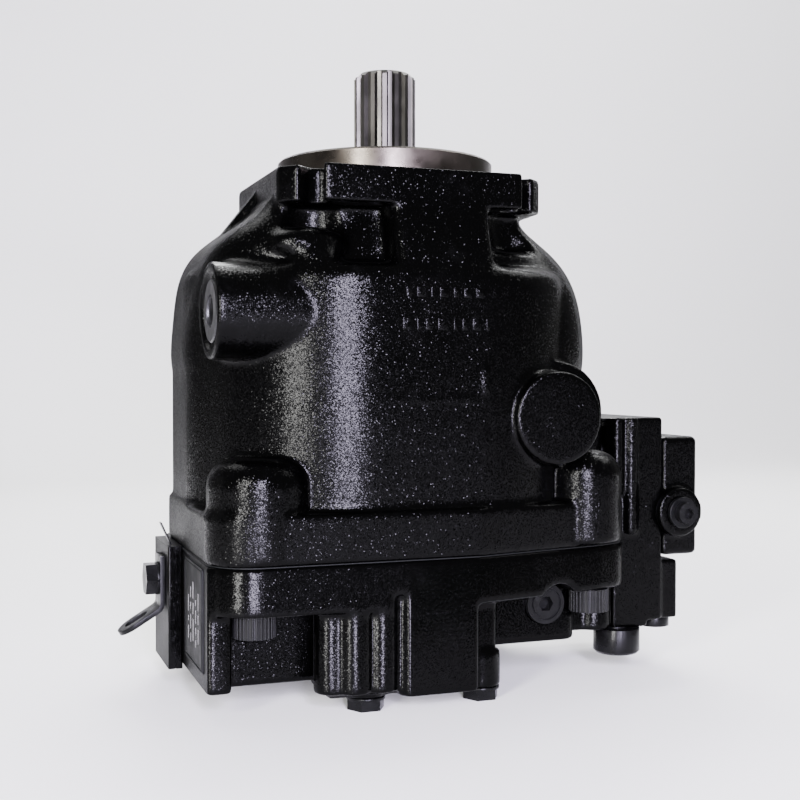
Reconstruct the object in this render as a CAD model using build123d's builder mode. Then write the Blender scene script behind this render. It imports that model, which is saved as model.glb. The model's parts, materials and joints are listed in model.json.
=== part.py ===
from build123d import *
import os
from math import atan2, cos, degrees, pi, radians, sin, sqrt

# Axial piston pump, shaft upwards.
# +Z runs out along the drive shaft, z = 0 is the mounting flange face,
# -Y is the flat front of the housing and +X is the side with the control.

# ---- Driving dimensions, mm ------------------------------------------------
PILOT_R = 127.0 / 2  # SAE C pilot
PILOT_H = 12.7
FLANGE_T = 20.0
FLANGE_X = 78.0
FLANGE_Y = 70.5
FLANGE_CORNER = 90.0  # distance from the axis to each corner flat
BOLT_CIRCLE_R = 161.9 / 2
SLOT_W = 14.3
JOINT_Z = -210.0  # joint line between housing and end cap
BAND_T = 26.0  # depth of the end cap's flange band
BASE_Z = -283.0  # underside of the port block
FOOT_Z = -291.0  # underside of the hexagon heads it stands on
WALL = 10.0

BARREL = (-120.0, 119.0, -62.0, 80.0)  # left, right, front, back
BARREL_R = (62.0, 50.0, 60.0, 43.0)  # corners, from front left round to back left
FRONT = (-119.5, 108.0, -84.0, 22.0)  # the fuller front half of the barrel
FRONT_R = (90.0, 80.0, 15.0, 15.0)
SHOULDER_Z = -52.0
LEDGE_Z = -184.0
POST_Z = -156.0
SCREWS = ((-95.0, -66.0), (105.0, -60.0), (105.0, 62.0), (-95.0, 62.0))
POSTS = ((-92.0, -62.0, 27.0), (102.0, -58.0, 22.0), (102.0, 60.0, 22.0), (-92.0, 58.0, 24.0))

SPLINE_R = 18.2
SPLINE_ROOT_R = 15.9
SPLINE_TEETH = 16
SHAFT_TOP = 65.7
TILT_Z = -96.0  # swashplate axis, along X, and its running face at neutral
TILT_MAX = 18.0
PISTONS = 9
PISTON_R = 12.0
PITCH_R = 46.0
BLOCK_R = 62.5
BLOCK_TOP = -132.0
BLOCK_BOTTOM = -206.0
FILM = 0.05  # running clearance
CRADLE_R = 42.0
SHELL_R = 45.0
SHELL_LOW = 31.5  # the shells' ends, clear of the tilted swashplate
SERVO_X = 75.0
SERVO_Z = -137.0
SERVO_R = 10.5
BEARING_R = 42.5
SEAL_R = 31.0
REAR_R = 25.5

DRAIN = (-116.0, -51.0, -78.5)  # centre of the case drain boss face
DRAIN_R = 26.0
BOSS = (73.0, -86.0, -136.0)  # blank round boss on the right of the front
CONTROL = (128.0, 166.0, -42.0, 40.0)
CONTROL_TOP = -138.0
SPOOL_X = 175.0
SPOOL_Z = -196.0
INLET = (-46.0, -248.0)  # x and z of the two ports in the back face
OUTLET = (46.0, -248.0)
INLET_R = 19.0
OUTLET_R = 16.0
PORT_DEPTH = 34.0
BACK_Y = 88.0
CORE_FRONT = -56.0  # front wall of the end cap's core
GAUGE = (78.0, -244.0)  # x and z of the gauge port
BASE_PLUG = (137.5, -35.5)  # x and y of the large plug under the control
COVER_BOLT = (22.0, -230.0)  # y and z of the side cover's bolt
CONTROL_SCREWS = ((-30.0, -158.0), (24.0, -158.0), (-30.0, -180.0), (24.0, -180.0))


# ---- Shared shapes ---------------------------------------------------------
def rod(plane, radius, length, mode=Mode.ADD):
    """A round bar, or a round hole, from a plane along its normal."""
    with BuildSketch(plane, mode=Mode.PRIVATE) as disc:
        Circle(radius)
    extrude(disc.sketch, amount=length, mode=mode)


def tube(plane, outer, inner, length, mode=Mode.ADD):
    """A ring or sleeve from a plane along its normal."""
    with BuildSketch(plane, mode=Mode.PRIVATE) as ring:
        Circle(outer)
        Circle(inner, mode=Mode.SUBTRACT)
    extrude(ring.sketch, amount=length, mode=mode)


def hexagon(plane, flats, length, mode=Mode.ADD):
    """A hexagon bar, or a hexagon socket, from a plane along its normal."""
    with BuildSketch(plane, mode=Mode.PRIVATE) as hexes:
        RegularPolygon(flats / 2, 6, major_radius=False)
    extrude(hexes.sketch, amount=length, mode=mode)


def block(left, right, front, back, bottom, top, radius=0.0, mode=Mode.ADD):
    """An upright block with rounded vertical corners."""
    with BuildSketch(Plane.XY.offset(bottom), mode=Mode.PRIVATE) as base:
        with Locations(((left + right) / 2, (front + back) / 2)):
            if radius:
                RectangleRounded(right - left, back - front, radius)
            else:
                Rectangle(right - left, back - front)
    extrude(base.sketch, amount=top - bottom, mode=mode)


def outline(z, left, right, front, back, radii):
    """The casting's outline at a height, with its own radius at each corner."""
    with BuildSketch(Plane.XY.offset(z), mode=Mode.PRIVATE) as section:
        with Locations(((left + right) / 2, (front + back) / 2)):
            Rectangle(right - left, back - front)
        corners = ((left, front), (right, front), (right, back), (left, back))
        for (x, y), radius in zip(corners, radii):
            corner = section.vertices().sort_by_distance((x, y, 0))[0]
            fillet(corner, radius)
    return section.sketch


def flange_outline(z, grow=0.0, back_left=25.0):
    """The bolted joint's outline: straight in front, cut back on the right."""
    left, back = -121.0 - grow, BACK_Y + grow
    front, right = -88.0 - grow, 131.0 + grow
    with BuildSketch(Plane.XY.offset(z), mode=Mode.PRIVATE) as section:
        with BuildLine():
            Polyline(
                (left, front),
                (25, front),
                (107, -71 - grow),
                (right, -62 - grow),
                (right, 62),
                (104, back),
                (left, back),
                close=True,
            )
        make_face()
        corners = ((left, front, 25), (right, -62 - grow, 20), (right, 62, 20))
        corners += ((104, back, 30), (left, back, back_left))
        for x, y, radius in corners:
            corner = section.vertices().sort_by_distance((x, y, 0))[0]
            fillet(corner, radius)
    return section.sketch


def facing_left(x, y, z):
    """A plane whose normal points to -X."""
    return Plane(origin=(x, y, z), x_dir=(0, 1, 0), z_dir=(-1, 0, 0))


def facing_front(x, y, z):
    """A plane whose normal points to -Y."""
    return Plane(origin=(x, y, z), x_dir=(1, 0, 0), z_dir=(0, -1, 0))


def facing_down(x, y, z):
    """A plane whose normal points to -Z."""
    return Plane(origin=(x, y, z), x_dir=(1, 0, 0), z_dir=(0, 0, -1))


def facing_up(x, y, z):
    """A plane whose normal points to +Z."""
    return Plane(origin=(x, y, z), x_dir=(1, 0, 0), z_dir=(0, 0, 1))


os.makedirs("parts", exist_ok=True)


def save(builder, name):
    """Label a finished piece and write it."""
    builder.part.label = name
    export_step(builder.part, f"parts/{name}.step")


# ---- Housing ---------------------------------------------------------------
# The dome swells from the neck under the flange out to the barrel.
with BuildPart() as dome:
    loft(
        sections=[
            outline(-16, -80, 74, -52, 70, (20, 30, 30, 20)),
            outline(-30, -94, 84, -54, 74, (24, 40, 36, 30)),
            outline(-45, -110, 103, -58, 77, (36, 46, 44, 36)),
            outline(-62, -117, 114, -60, 79, (48, 48, 52, 40)),
            outline(-84, *BARREL, BARREL_R),
            outline(-110, *BARREL, BARREL_R),
        ]
    )

# The front half of the barrel starts at a ledge below the flange ears.
with BuildPart() as front_shell:
    extrude(
        outline(LEDGE_Z - 4, *FRONT, FRONT_R),
        amount=SHOULDER_Z - LEDGE_Z + 4,
    )
    fillet(front_shell.edges().group_by(Axis.Z)[-1], 9)

# The chest joins the flange front to the flat front face.
with BuildPart() as chest:
    with BuildSketch(Plane.YZ.offset(-20)):
        with BuildLine():
            Polyline(
                (-FLANGE_Y, -2),
                (-FLANGE_Y, -20),
                (-84, -62),
                (-84, -120),
                (-30, -120),
                (-30, -2),
                close=True,
            )
        make_face()
    extrude(amount=58)
    fillet(
        chest.edges().filter_by(Axis.X).sort_by(Axis.Z)[2:4].sort_by(Axis.Y)[0:1], 8
    )
    sides = chest.faces().filter_by(Axis.X)
    fillet(sides.edges().filter_by(lambda edge: edge.center().Y < -69), 7)

with BuildPart() as posts:
    for x, y, radius in POSTS:
        rod(facing_up(x, y, JOINT_Z + 2), radius, POST_Z - JOINT_Z - 2)
    fillet(posts.edges().group_by(Axis.Z)[-1], 14)

with BuildPart() as shell:
    # Mounting flange with its corner flats, and the pilot
    with BuildSketch(Plane.XY.offset(-FLANGE_T)) as plate:
        Rectangle(2 * FLANGE_X, 2 * FLANGE_Y)
        with BuildSketch(mode=Mode.INTERSECT):
            Rectangle(2 * FLANGE_CORNER, 2 * FLANGE_CORNER, rotation=45)
    extrude(amount=FLANGE_T)
    rod(facing_up(0, 0, -1), PILOT_R, PILOT_H + 1)
    chamfer(shell.edges().group_by(Axis.Z)[-1], 1.2)

    add(dome.part)
    add(front_shell.part)
    add(chest.part)
    extrude(outline(LEDGE_Z - 4, *BARREL, BARREL_R), amount=-100 - LEDGE_Z)

    # Open bolt slots, with room under each flange ear for a bolt head
    with BuildSketch(Plane.XY.offset(-FLANGE_T)) as slots:
        with PolarLocations(BOLT_CIRCLE_R + 20, 4, 45):
            SlotOverall(40 + SLOT_W, SLOT_W)
    extrude(slots.sketch, amount=FLANGE_T, mode=Mode.SUBTRACT)
    with Locations(facing_down(0, 0, -FLANGE_T)):
        with PolarLocations(BOLT_CIRCLE_R + 4, 4, 45):
            Cylinder(
                17,
                22,
                align=(Align.CENTER, Align.CENTER, Align.MIN),
                mode=Mode.SUBTRACT,
            )

    # Webs from the flange down to the dome
    for side, reach in ((-1, 112), (1, 104)):
        with BuildSketch(Plane.XZ.offset(-2)) as web:
            with BuildLine():
                Polyline(
                    (side * 70, -8),
                    (side * 79, -8),
                    (side * reach, -50),
                    (side * 70, -60),
                    close=True,
                )
            make_face()
        extrude(web.sketch, amount=-11)

    # Lower flange and the four screw posts
    extrude(
        flange_outline(JOINT_Z, back_left=42),
        amount=LEDGE_Z - JOINT_Z,
    )
    add(posts.part)

    # Case drain boss, the blank boss and the stroking cylinder's boss
    rod(facing_left(-60, DRAIN[1], DRAIN[2]), DRAIN_R, -60 - DRAIN[0])
    rod(facing_front(BOSS[0], -40, BOSS[2]), 26, -40 - BOSS[1])
    rod(facing_front(80, -20, -134), 30, 48)
    rod(facing_front(SERVO_X, BACK_Y - 4, SERVO_Z).offset(0), 20, 24)

    # Pad for the control block
    block(104, 128, -38, 38, -204, -142, 6)

    # Cast marks on the front face
    block(28, 30, -84.8, -80, -122, -108)
    block(-22, 24, -84.5, -80, -126, -125)

with BuildPart() as cavity:
    extrude(
        outline(JOINT_Z, -108, 98, -74, 70, (80, 70, 50, 34)),
        amount=-72 - JOINT_Z,
    )
    loft(
        sections=[
            outline(-72, -108, 98, -74, 70, (80, 70, 50, 34)),
            outline(-62, -104, 94, -66, 68, (70, 54, 44, 30)),
            outline(-44, -86, 80, -44, 60, (34, 38, 36, 26)),
        ]
    )
    # What stays inside: saddles over the cradle shells, and the two tubes
    # that guide the stroking and bias pistons.
    for side in (-1, 1):
        block(
            min(side * 38, side * 68),
            max(side * 38, side * 68),
            -42,
            42,
            -64,
            -40,
            mode=Mode.SUBTRACT,
        )
    for near, far in ((-80, -27), (27, 80)):
        rod(
            facing_front(SERVO_X, far, SERVO_Z),
            SERVO_R + 4,
            far - near,
            mode=Mode.SUBTRACT,
        )
    for x, y in SCREWS:
        rod(facing_up(x, y, JOINT_Z), 14, 46, mode=Mode.SUBTRACT)

with BuildPart() as housing:
    add(shell.part)
    add(cavity.part, mode=Mode.SUBTRACT)
    # Saddle bores for the cradle shells, along X
    with BuildSketch(Plane.YZ.offset(-68.2)) as saddle:
        with Locations((0, TILT_Z)):
            Circle(SHELL_R)
    extrude(saddle.sketch, amount=136.4, mode=Mode.SUBTRACT)
    # Bearing bore, seal bore, snap ring groove
    rod(facing_up(0, 0, -60), 36, 50, mode=Mode.SUBTRACT)
    rod(facing_up(0, 0, -44), BEARING_R, 28, mode=Mode.SUBTRACT)
    rod(facing_up(0, 0, -18), 24, 12, mode=Mode.SUBTRACT)
    rod(facing_up(0, 0, -10), SEAL_R, 30, mode=Mode.SUBTRACT)
    rod(facing_up(0, 0, 1), SEAL_R + 1.5, 1.8, mode=Mode.SUBTRACT)
    # Guide bores for the stroking and bias pistons
    rod(facing_front(SERVO_X, -26, SERVO_Z), SERVO_R + FILM, 48, mode=Mode.SUBTRACT)
    rod(facing_front(SERVO_X, 90, SERVO_Z), SERVO_R + FILM, 64, mode=Mode.SUBTRACT)
    # Case drain port, threaded screw holes
    rod(facing_left(DRAIN[0] + 4, *DRAIN[1:]), 21.5, 10, mode=Mode.SUBTRACT)
    rod(facing_left(-40, *DRAIN[1:]), 13, 80, mode=Mode.SUBTRACT)
    for x, y in SCREWS:
        rod(facing_up(x, y, JOINT_Z), 8, 40, mode=Mode.SUBTRACT)
    # Oil passages and screw holes for the control block
    for y in (-12, 8):
        rod(facing_left(128, y, -170), 3, 34, mode=Mode.SUBTRACT)
    for y, z in CONTROL_SCREWS:
        rod(facing_left(128, y, z), 4, 16, mode=Mode.SUBTRACT)
save(housing, "housing")

# ---- Gasket ----------------------------------------------------------------
# (a thin O-ring cord would hide in its groove; the joint uses a flat gasket)
with BuildPart() as gasket:
    extrude(flange_outline(JOINT_Z - 0.5, -1.0, 41), amount=0.5)
    extrude(
        outline(JOINT_Z - 0.5, -107, 97, -73, 69, (50, 68, 50, 34)),
        amount=0.5,
        mode=Mode.SUBTRACT,
    )
    for x, y in SCREWS:
        rod(facing_up(x, y, JOINT_Z - 0.5), 8.6, 0.5, mode=Mode.SUBTRACT)
save(gasket, "joint_gasket")

# ---- End cap ---------------------------------------------------------------
CAP_TOP = JOINT_Z - 0.5
BAND_Z = JOINT_Z - BAND_T
with BuildPart() as end_cap:
    extrude(flange_outline(BAND_Z), amount=CAP_TOP - BAND_Z)
    # Core, with the walls set back behind the screw heads
    block(-112, 45, CORE_FRONT, BACK_Y, -278, BAND_Z, 8)
    block(30, 100, CORE_FRONT, BACK_Y, -267, BAND_Z, 8)
    block(30, 100, 36, BACK_Y, -278, BAND_Z, 8)
    # Left side block, with the nameplate face and the side port face
    block(-121, -108, -73.5, 52, -277, CAP_TOP, 1.5)
    # Port block in front: three round columns, a groove, then a milled face
    for x, y, radius in ((-56, -74, 9), (-44, -78, 10), (-29, -79, 9)):
        rod(facing_up(x, y, BASE_Z + 3), radius, 48)
    block(-58, 24, -78, -40, BASE_Z, BAND_Z)
    block(-20, 24, -88, -60, BASE_Z, BAND_Z, 1.5)
    block(20, 38, -80, -40, BASE_Z + 2, BAND_Z, 3)
    block(-58, 38, 50, BACK_Y, BASE_Z, BAND_Z, 4)
    rod(facing_up(-21, -88, BASE_Z - 5), 3.5, 60, mode=Mode.SUBTRACT)
    for x in (-35, 32):
        for y in (-70, 70):
            rod(facing_up(x, y, FOOT_Z + 7), 11, 20)
    # Column under the right front screw
    block(98, 128, -44, 40, -265, CAP_TOP, 4)
    rod(facing_up(119.5, -37, -265), 11.5, 40)
    # Clear the screw heads
    for x, y in SCREWS:
        rod(facing_up(x, y, BAND_Z - 14), 13.5, 14, mode=Mode.SUBTRACT)
        rod(facing_up(x, y, BAND_Z), 8.6, 40, mode=Mode.SUBTRACT)
    # Rear bearing pocket, kidney ports, then the inlet and outlet bores
    rod(facing_up(0, 0, -234), REAR_R, 30, mode=Mode.SUBTRACT)
    rod(facing_up(0, 0, -241), 17, 20, mode=Mode.SUBTRACT)
    rod(facing_up(0, -52, -215), 2.5, 10, mode=Mode.SUBTRACT)
    with BuildSketch(Plane.XY.offset(-250)) as kidneys:
        for start in (115, -65):
            arc = CenterArc((0, 0), PITCH_R, start, 130, mode=Mode.PRIVATE)
            SlotArc(arc, 12)
    extrude(kidneys.sketch, amount=45, mode=Mode.SUBTRACT)
    for (x, z), radius in ((INLET, INLET_R), (OUTLET, OUTLET_R)):
        mouth = facing_front(x, BACK_Y, z)
        rod(mouth, radius, PORT_DEPTH, mode=Mode.SUBTRACT)
        rod(mouth, radius - 2, BACK_Y + 34, mode=Mode.SUBTRACT)
    # Threaded holes round each port, for split flanges
    for (x, z), wide, high in ((INLET, 77.8, 42.9), (OUTLET, 66.7, 31.8)):
        for dx in (-wide / 2, wide / 2):
            for dz in (-high / 2, high / 2):
                hole = facing_front(x + dx, BACK_Y, z + dz)
                rod(hole, 5.25, 16, mode=Mode.SUBTRACT)
    # Gauge port, base plug holes, cover bolt hole
    rod(facing_front(GAUGE[0], -40, GAUGE[1]), 8, 30, mode=Mode.SUBTRACT)
    rod(facing_front(GAUGE[0], CORE_FRONT, GAUGE[1]), 14, 40, mode=Mode.SUBTRACT)
    for x in (-35, 32):
        for y in (-70, 70):
            rod(facing_up(x, y, FOOT_Z), 6, 30, mode=Mode.SUBTRACT)
    rod(facing_left(-100, *COVER_BOLT), 5, 30, mode=Mode.SUBTRACT)
    fillet(end_cap.edges().group_by(Axis.Z)[0], 0.6)
save(end_cap, "end_cap")

# ---- Shaft, seal and bearings ----------------------------------------------
TOOTH_PITCH = 360 / SPLINE_TEETH
with BuildPart() as drive_shaft:
    steps = (
        (-236, -212, 15),
        (-212, -88, 18),
        (-88, -50, 20),
        (-50, -42, 26),
        (-42, -14, 22.5),
        (-14, 8, 20),
        (8, 16, SPLINE_R),
        (16, SHAFT_TOP, SPLINE_ROOT_R),
    )
    for low, high, radius in steps:
        rod(facing_up(0, 0, low), radius, high - low)
    with BuildSketch(Plane.XY.offset(16)) as teeth:
        with PolarLocations(SPLINE_ROOT_R - 1, SPLINE_TEETH, -109):
            with Locations((1.65, 0)):
                Trapezoid(4.6, 3.3, 72, rotation=-90)
    extrude(teeth.sketch, amount=SHAFT_TOP - 16)
    with BuildSketch(Plane.XZ) as tip:
        with BuildLine():
            Polyline((20, 63.2), (17.6, 63.2), (15.2, 66), (20, 66), close=True)
        make_face()
    revolve(tip.sketch, Axis.Z, mode=Mode.SUBTRACT)
    rod(facing_down(0, 0, SHAFT_TOP + 1), 4.3, 24, mode=Mode.SUBTRACT)
save(drive_shaft, "drive_shaft")

with BuildPart() as shaft_seal:
    tube(facing_up(0, 0, -10), SEAL_R, 20 + FILM, 10)
    tube(facing_up(0, 0, -3), 29, 22, 4, mode=Mode.SUBTRACT)
save(shaft_seal, "shaft_seal")

with BuildPart() as snap_ring:
    tube(facing_up(0, 0, 1), SEAL_R + 1.4, 28, 1.8)
    block(-4, 4, -35, -25, 0, 4, mode=Mode.SUBTRACT)
save(snap_ring, "seal_snap_ring")


def rollers(count, ring_radius, radius, bottom, top):
    """A ring of separate rollers."""
    with PolarLocations(ring_radius, count):
        with Locations((0, 0, bottom)):
            Cylinder(
                radius,
                top - bottom,
                align=(Align.CENTER, Align.CENTER, Align.MIN),
            )


FRONT_ROLLERS = 18
FRONT_RING_R = 32.0
FRONT_ROLLER_R = 3.95
REAR_ROLLERS = 24
REAR_RING_R = 20.0
REAR_ROLLER_R = 1.95

with BuildPart() as front_cup:
    tube(facing_up(0, 0, -41), BEARING_R, 36, 25)
    chamfer(front_cup.edges().group_by(Axis.Z)[0], 0.8)
save(front_cup, "front_bearing_cup")

with BuildPart() as front_cone:
    tube(facing_up(0, 0, -42), 28, 22.5, 26)
    tube(facing_up(0, 0, -42), 30, 22.5, 2.5)
save(front_cone, "front_bearing_cone")

with BuildPart() as front_rollers:
    rollers(FRONT_ROLLERS, FRONT_RING_R, FRONT_ROLLER_R, -38, -18)
save(front_rollers, "front_bearing_rollers")

with BuildPart() as front_cage:
    tube(facing_up(0, 0, -39), 33.2, 31, 22)
    with PolarLocations(FRONT_RING_R, FRONT_ROLLERS):
        with Locations((0, 0, -28)):
            Cylinder(FRONT_ROLLER_R + 0.1, 20.2, mode=Mode.SUBTRACT)
save(front_cage, "front_bearing_cage")

with BuildPart() as rear_race:
    tube(facing_up(0, 0, -234), REAR_R, 22, 22)
save(rear_race, "rear_bearing_race")

with BuildPart() as rear_inner:
    tube(facing_up(0, 0, -232), 18, 15, 18)
save(rear_inner, "rear_inner_race")

with BuildPart() as rear_rollers:
    rollers(REAR_ROLLERS, REAR_RING_R, REAR_ROLLER_R, -231, -215)
save(rear_rollers, "rear_bearing_rollers")

# ---- Swashplate and its cradle ---------------------------------------------
with BuildPart() as swashplate:
    rod(facing_up(0, 0, TILT_Z), 64, 16)
    block(-66, 66, -CRADLE_R, CRADLE_R, TILT_Z, TILT_Z + 16)
    for side in (-1, 1):
        with BuildSketch(Plane.YZ.offset(side * 53 - 13)) as journal:
            with Locations((0, TILT_Z)):
                Circle(CRADLE_R)
            with Locations((0, TILT_Z + CRADLE_R)):
                Rectangle(3 * CRADLE_R, 2 * CRADLE_R, mode=Mode.INTERSECT)
        extrude(journal.sketch, amount=26)
    rod(facing_up(0, 0, TILT_Z - 1), 33, 60, mode=Mode.SUBTRACT)
    # Arm down to the pin between the stroking and bias pistons
    block(60, 80, -10, 10, TILT_Z, TILT_Z + 16)
    block(69, 80, -8, 8, -120, TILT_Z + 2)
    block(69, 80, -3.5, 3.5, SERVO_Z, -118)
    rod(facing_left(81, 0, SERVO_Z), 6, 12)
save(swashplate, "swashplate")

for name, side in (("cradle_bearing_left", -1), ("cradle_bearing_right", 1)):
    with BuildPart() as cradle:
        with BuildSketch(Plane.YZ.offset(side * 53 - 13)) as bush:
            with Locations((0, TILT_Z)):
                Circle(SHELL_R)
                Circle(CRADLE_R + FILM, mode=Mode.SUBTRACT)
            with Locations((0, TILT_Z + SHELL_LOW + SHELL_R)):
                Rectangle(3 * SHELL_R, 2 * SHELL_R, mode=Mode.INTERSECT)
        extrude(bush.sketch, amount=26)
    save(cradle, name)

# ---- Rotating group --------------------------------------------------------
BALL_Z = TILT_Z - 10
HUB_R = 26.0
GUIDE_R = 28.0
SLIPPER_TOP = TILT_Z - FILM

for number in range(PISTONS):
    angle = radians(90 + number * 360 / PISTONS)
    x, y = PITCH_R * cos(angle), PITCH_R * sin(angle)
    with BuildPart() as piston:
        with Locations((x, y, BALL_Z)):
            Sphere(8)
        rod(facing_up(x, y, BALL_Z - 14), 5.5, 10)
        rod(facing_up(x, y, -174), PISTON_R, 56)
        chamfer(piston.edges().filter_by(GeomType.CIRCLE).group_by(Axis.Z)[0], 0.5)
        rod(facing_up(x, y, -175), 7, 47, mode=Mode.SUBTRACT)
    save(piston, f"piston_{number + 1}")

with BuildPart() as slippers:
    with PolarLocations(PITCH_R, PISTONS, 90):
        with Locations((0, 0, SLIPPER_TOP - 4.8)):
            Cylinder(15, 4.8, align=(Align.CENTER, Align.CENTER, Align.MIN))
        with Locations((0, 0, SLIPPER_TOP - 13.5)):
            Cylinder(10.5, 9, align=(Align.CENTER, Align.CENTER, Align.MIN))
        with Locations((0, 0, BALL_Z)):
            Sphere(8, mode=Mode.SUBTRACT)
        with Locations((0, 0, BALL_Z - 10)):
            Cylinder(7, 10, mode=Mode.SUBTRACT)
        with Locations((0, 0, SLIPPER_TOP)):
            Cylinder(10, 1, mode=Mode.SUBTRACT)
save(slippers, "slippers")

with BuildPart() as retainer:
    tube(facing_up(0, 0, SLIPPER_TOP - 8), 60, GUIDE_R + 0.5, 3)
    with PolarLocations(PITCH_R, PISTONS, 90):
        with Locations((0, 0, SLIPPER_TOP - 8)):
            Cylinder(11, 8, mode=Mode.SUBTRACT)
save(retainer, "retainer_plate")

with BuildPart() as ball_guide:
    with BuildSketch(Plane.XZ) as half:
        with BuildLine():
            top, bottom = BALL_Z + 12, BALL_Z - 6
            Line((18.2, bottom), (sqrt(GUIDE_R**2 - 36), bottom))
            RadiusArc(
                (sqrt(GUIDE_R**2 - 36), bottom),
                (sqrt(GUIDE_R**2 - 144), top),
                -GUIDE_R,
            )
            Line((sqrt(GUIDE_R**2 - 144), top), (18.2, top))
            Line((18.2, top), (18.2, bottom))
        make_face()
    revolve(half.sketch, Axis.Z)
save(ball_guide, "ball_guide")

with BuildPart() as cylinder_block:
    rod(facing_up(0, 0, BLOCK_BOTTOM), BLOCK_R, BLOCK_TOP - BLOCK_BOTTOM)
    chamfer(cylinder_block.edges(), 1.5)
    rod(facing_up(0, 0, BLOCK_TOP - 1), HUB_R, BALL_Z - 6 - BLOCK_TOP + 1)
    rod(facing_up(0, 0, BLOCK_BOTTOM), 18.1, 120, mode=Mode.SUBTRACT)
    rod(facing_up(0, 0, -190), 24, 40, mode=Mode.SUBTRACT)
    with PolarLocations(PITCH_R, PISTONS, 90):
        with Locations((0, 0, -196)):
            Cylinder(
                PISTON_R + FILM,
                70,
                align=(Align.CENTER, Align.CENTER, Align.MIN),
                mode=Mode.SUBTRACT,
            )
        with Locations((0, 0, -200)):
            Cylinder(5.5, 20, mode=Mode.SUBTRACT)
    with PolarLocations(22, 3):
        with Locations((0, 0, -130)):
            Cylinder(2.1, 44, mode=Mode.SUBTRACT)
save(cylinder_block, "cylinder_block")

with BuildPart() as pins:
    with PolarLocations(22, 3):
        with Locations((0, 0, -151)):
            Cylinder(2, 39, align=(Align.CENTER, Align.CENTER, Align.MIN))
save(pins, "hold_down_pins")


def spring(radius, wire, pitch, height, origin, direction):
    """A coil spring standing on origin, along direction."""
    with BuildLine(mode=Mode.PRIVATE) as coil:
        Helix(pitch, height, radius, center=origin, direction=direction)
    with BuildSketch(
        Plane(origin=coil.line @ 0, z_dir=coil.line % 0), mode=Mode.PRIVATE
    ) as section:
        Circle(wire)
    sweep(section.sketch, path=coil.line)


with BuildPart() as block_spring:
    spring(21.2, 1.5, 6, 34, (0, 0, -187.5), (0, 0, 1))
save(block_spring, "block_spring")

with BuildPart() as valve_plate:
    tube(facing_up(0, 0, CAP_TOP), 58, 19, BLOCK_BOTTOM - FILM - CAP_TOP)
    with BuildSketch(Plane.XY.offset(CAP_TOP)) as ports:
        for start in (115, -65):
            arc = CenterArc((0, 0), PITCH_R, start, 130, mode=Mode.PRIVATE)
            SlotArc(arc, 11)
        with Locations((0, -52)):
            Circle(2.5)
    extrude(ports.sketch, amount=8, mode=Mode.SUBTRACT)
save(valve_plate, "valve_plate")

with BuildPart() as plate_pin:
    rod(facing_up(0, -52, -214.5), 2.5, 7.5)
save(plate_pin, "valve_plate_pin")

# ---- Stroking and bias pistons ---------------------------------------------
NOSE_GAP = 6.4
with BuildPart() as stroking:
    rod(facing_front(SERVO_X, -16, SERVO_Z), SERVO_R, 42)
    rod(facing_front(SERVO_X, -NOSE_GAP, SERVO_Z), 6.5, 12)
    for y in (-30, -48):
        tube(facing_front(SERVO_X, y, SERVO_Z), 12, 9.3, 2, mode=Mode.SUBTRACT)
save(stroking, "stroking_piston")

with BuildPart() as bias:
    rod(facing_front(SERVO_X, 52, SERVO_Z), SERVO_R, 36)
    rod(facing_front(SERVO_X, 18, SERVO_Z), 6.5, 18 - NOSE_GAP)
    rod(facing_front(SERVO_X, 53, SERVO_Z), 8, 29, mode=Mode.SUBTRACT)
save(bias, "bias_piston")

with BuildPart() as bias_spring:
    spring(6, 1.2, 4.5, 30, (SERVO_X, 39.5, SERVO_Z), (0, 1, 0))
save(bias_spring, "bias_spring")

with BuildPart() as bias_plug:
    rod(facing_front(SERVO_X, 84, SERVO_Z), SERVO_R + FILM, 13)
    rod(facing_front(SERVO_X, 87, SERVO_Z), 15, 3)
    hexagon(facing_front(SERVO_X, 88, SERVO_Z), 10, 7, mode=Mode.SUBTRACT)
save(bias_plug, "bias_plug")

# ---- Plugs, screws and the pieces on the left side -------------------------
with BuildPart() as drain_plug:
    face = DRAIN[0] + 1
    rod(facing_left(face + 15, *DRAIN[1:]), 13, 15)
    rod(facing_left(face + 3, *DRAIN[1:]), 16.8, 3)
    chamfer(drain_plug.edges().group_by(Axis.X)[0], 0.8)
    rod(facing_left(face + 1.2, *DRAIN[1:]), 9, 3, mode=Mode.SUBTRACT)
    hexagon(facing_left(face + 8, *DRAIN[1:]), 14, 10, mode=Mode.SUBTRACT)
save(drain_plug, "drain_plug")

HEAD_R = 11.5
HEAD_H = 13.0
with BuildPart() as cap_screws:
    for x, y in SCREWS:
        rod(facing_up(x, y, BAND_Z), 8, 59)
        with BuildSketch(Plane.XY.offset(BAND_Z - HEAD_H)) as head:
            with Locations((x, y)):
                Circle(HEAD_R - 0.4)
                with PolarLocations(HEAD_R - 0.6, 30):
                    Circle(0.7)
        extrude(head.sketch, amount=HEAD_H)
        hexagon(facing_up(x, y, BAND_Z - HEAD_H), 14, 8, mode=Mode.SUBTRACT)
save(cap_screws, "cap_screws")

with BuildPart() as foot_plugs:
    for x in (-35, 32):
        for y in (-70, 70):
            hexagon(facing_up(x, y, FOOT_Z), 18, 6)
            rod(facing_up(x, y, FOOT_Z + 5.5), 10.5, 1.5)
            rod(facing_up(x, y, FOOT_Z + 7), 6, 16)
save(foot_plugs, "foot_plugs")

with BuildPart() as gauge_plug:
    rod(facing_front(GAUGE[0], CORE_FRONT, GAUGE[1]), 11.7, 3)
    rod(facing_front(GAUGE[0], CORE_FRONT + 12, GAUGE[1]), 8, 12)
    tube(facing_front(GAUGE[0], CORE_FRONT - 2, GAUGE[1]), 9.5, 8, 2, mode=Mode.SUBTRACT)
    hexagon(
        facing_front(GAUGE[0], CORE_FRONT + 3, GAUGE[1]), 8, 10, mode=Mode.SUBTRACT
    )
save(gauge_plug, "gauge_plug")

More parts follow.
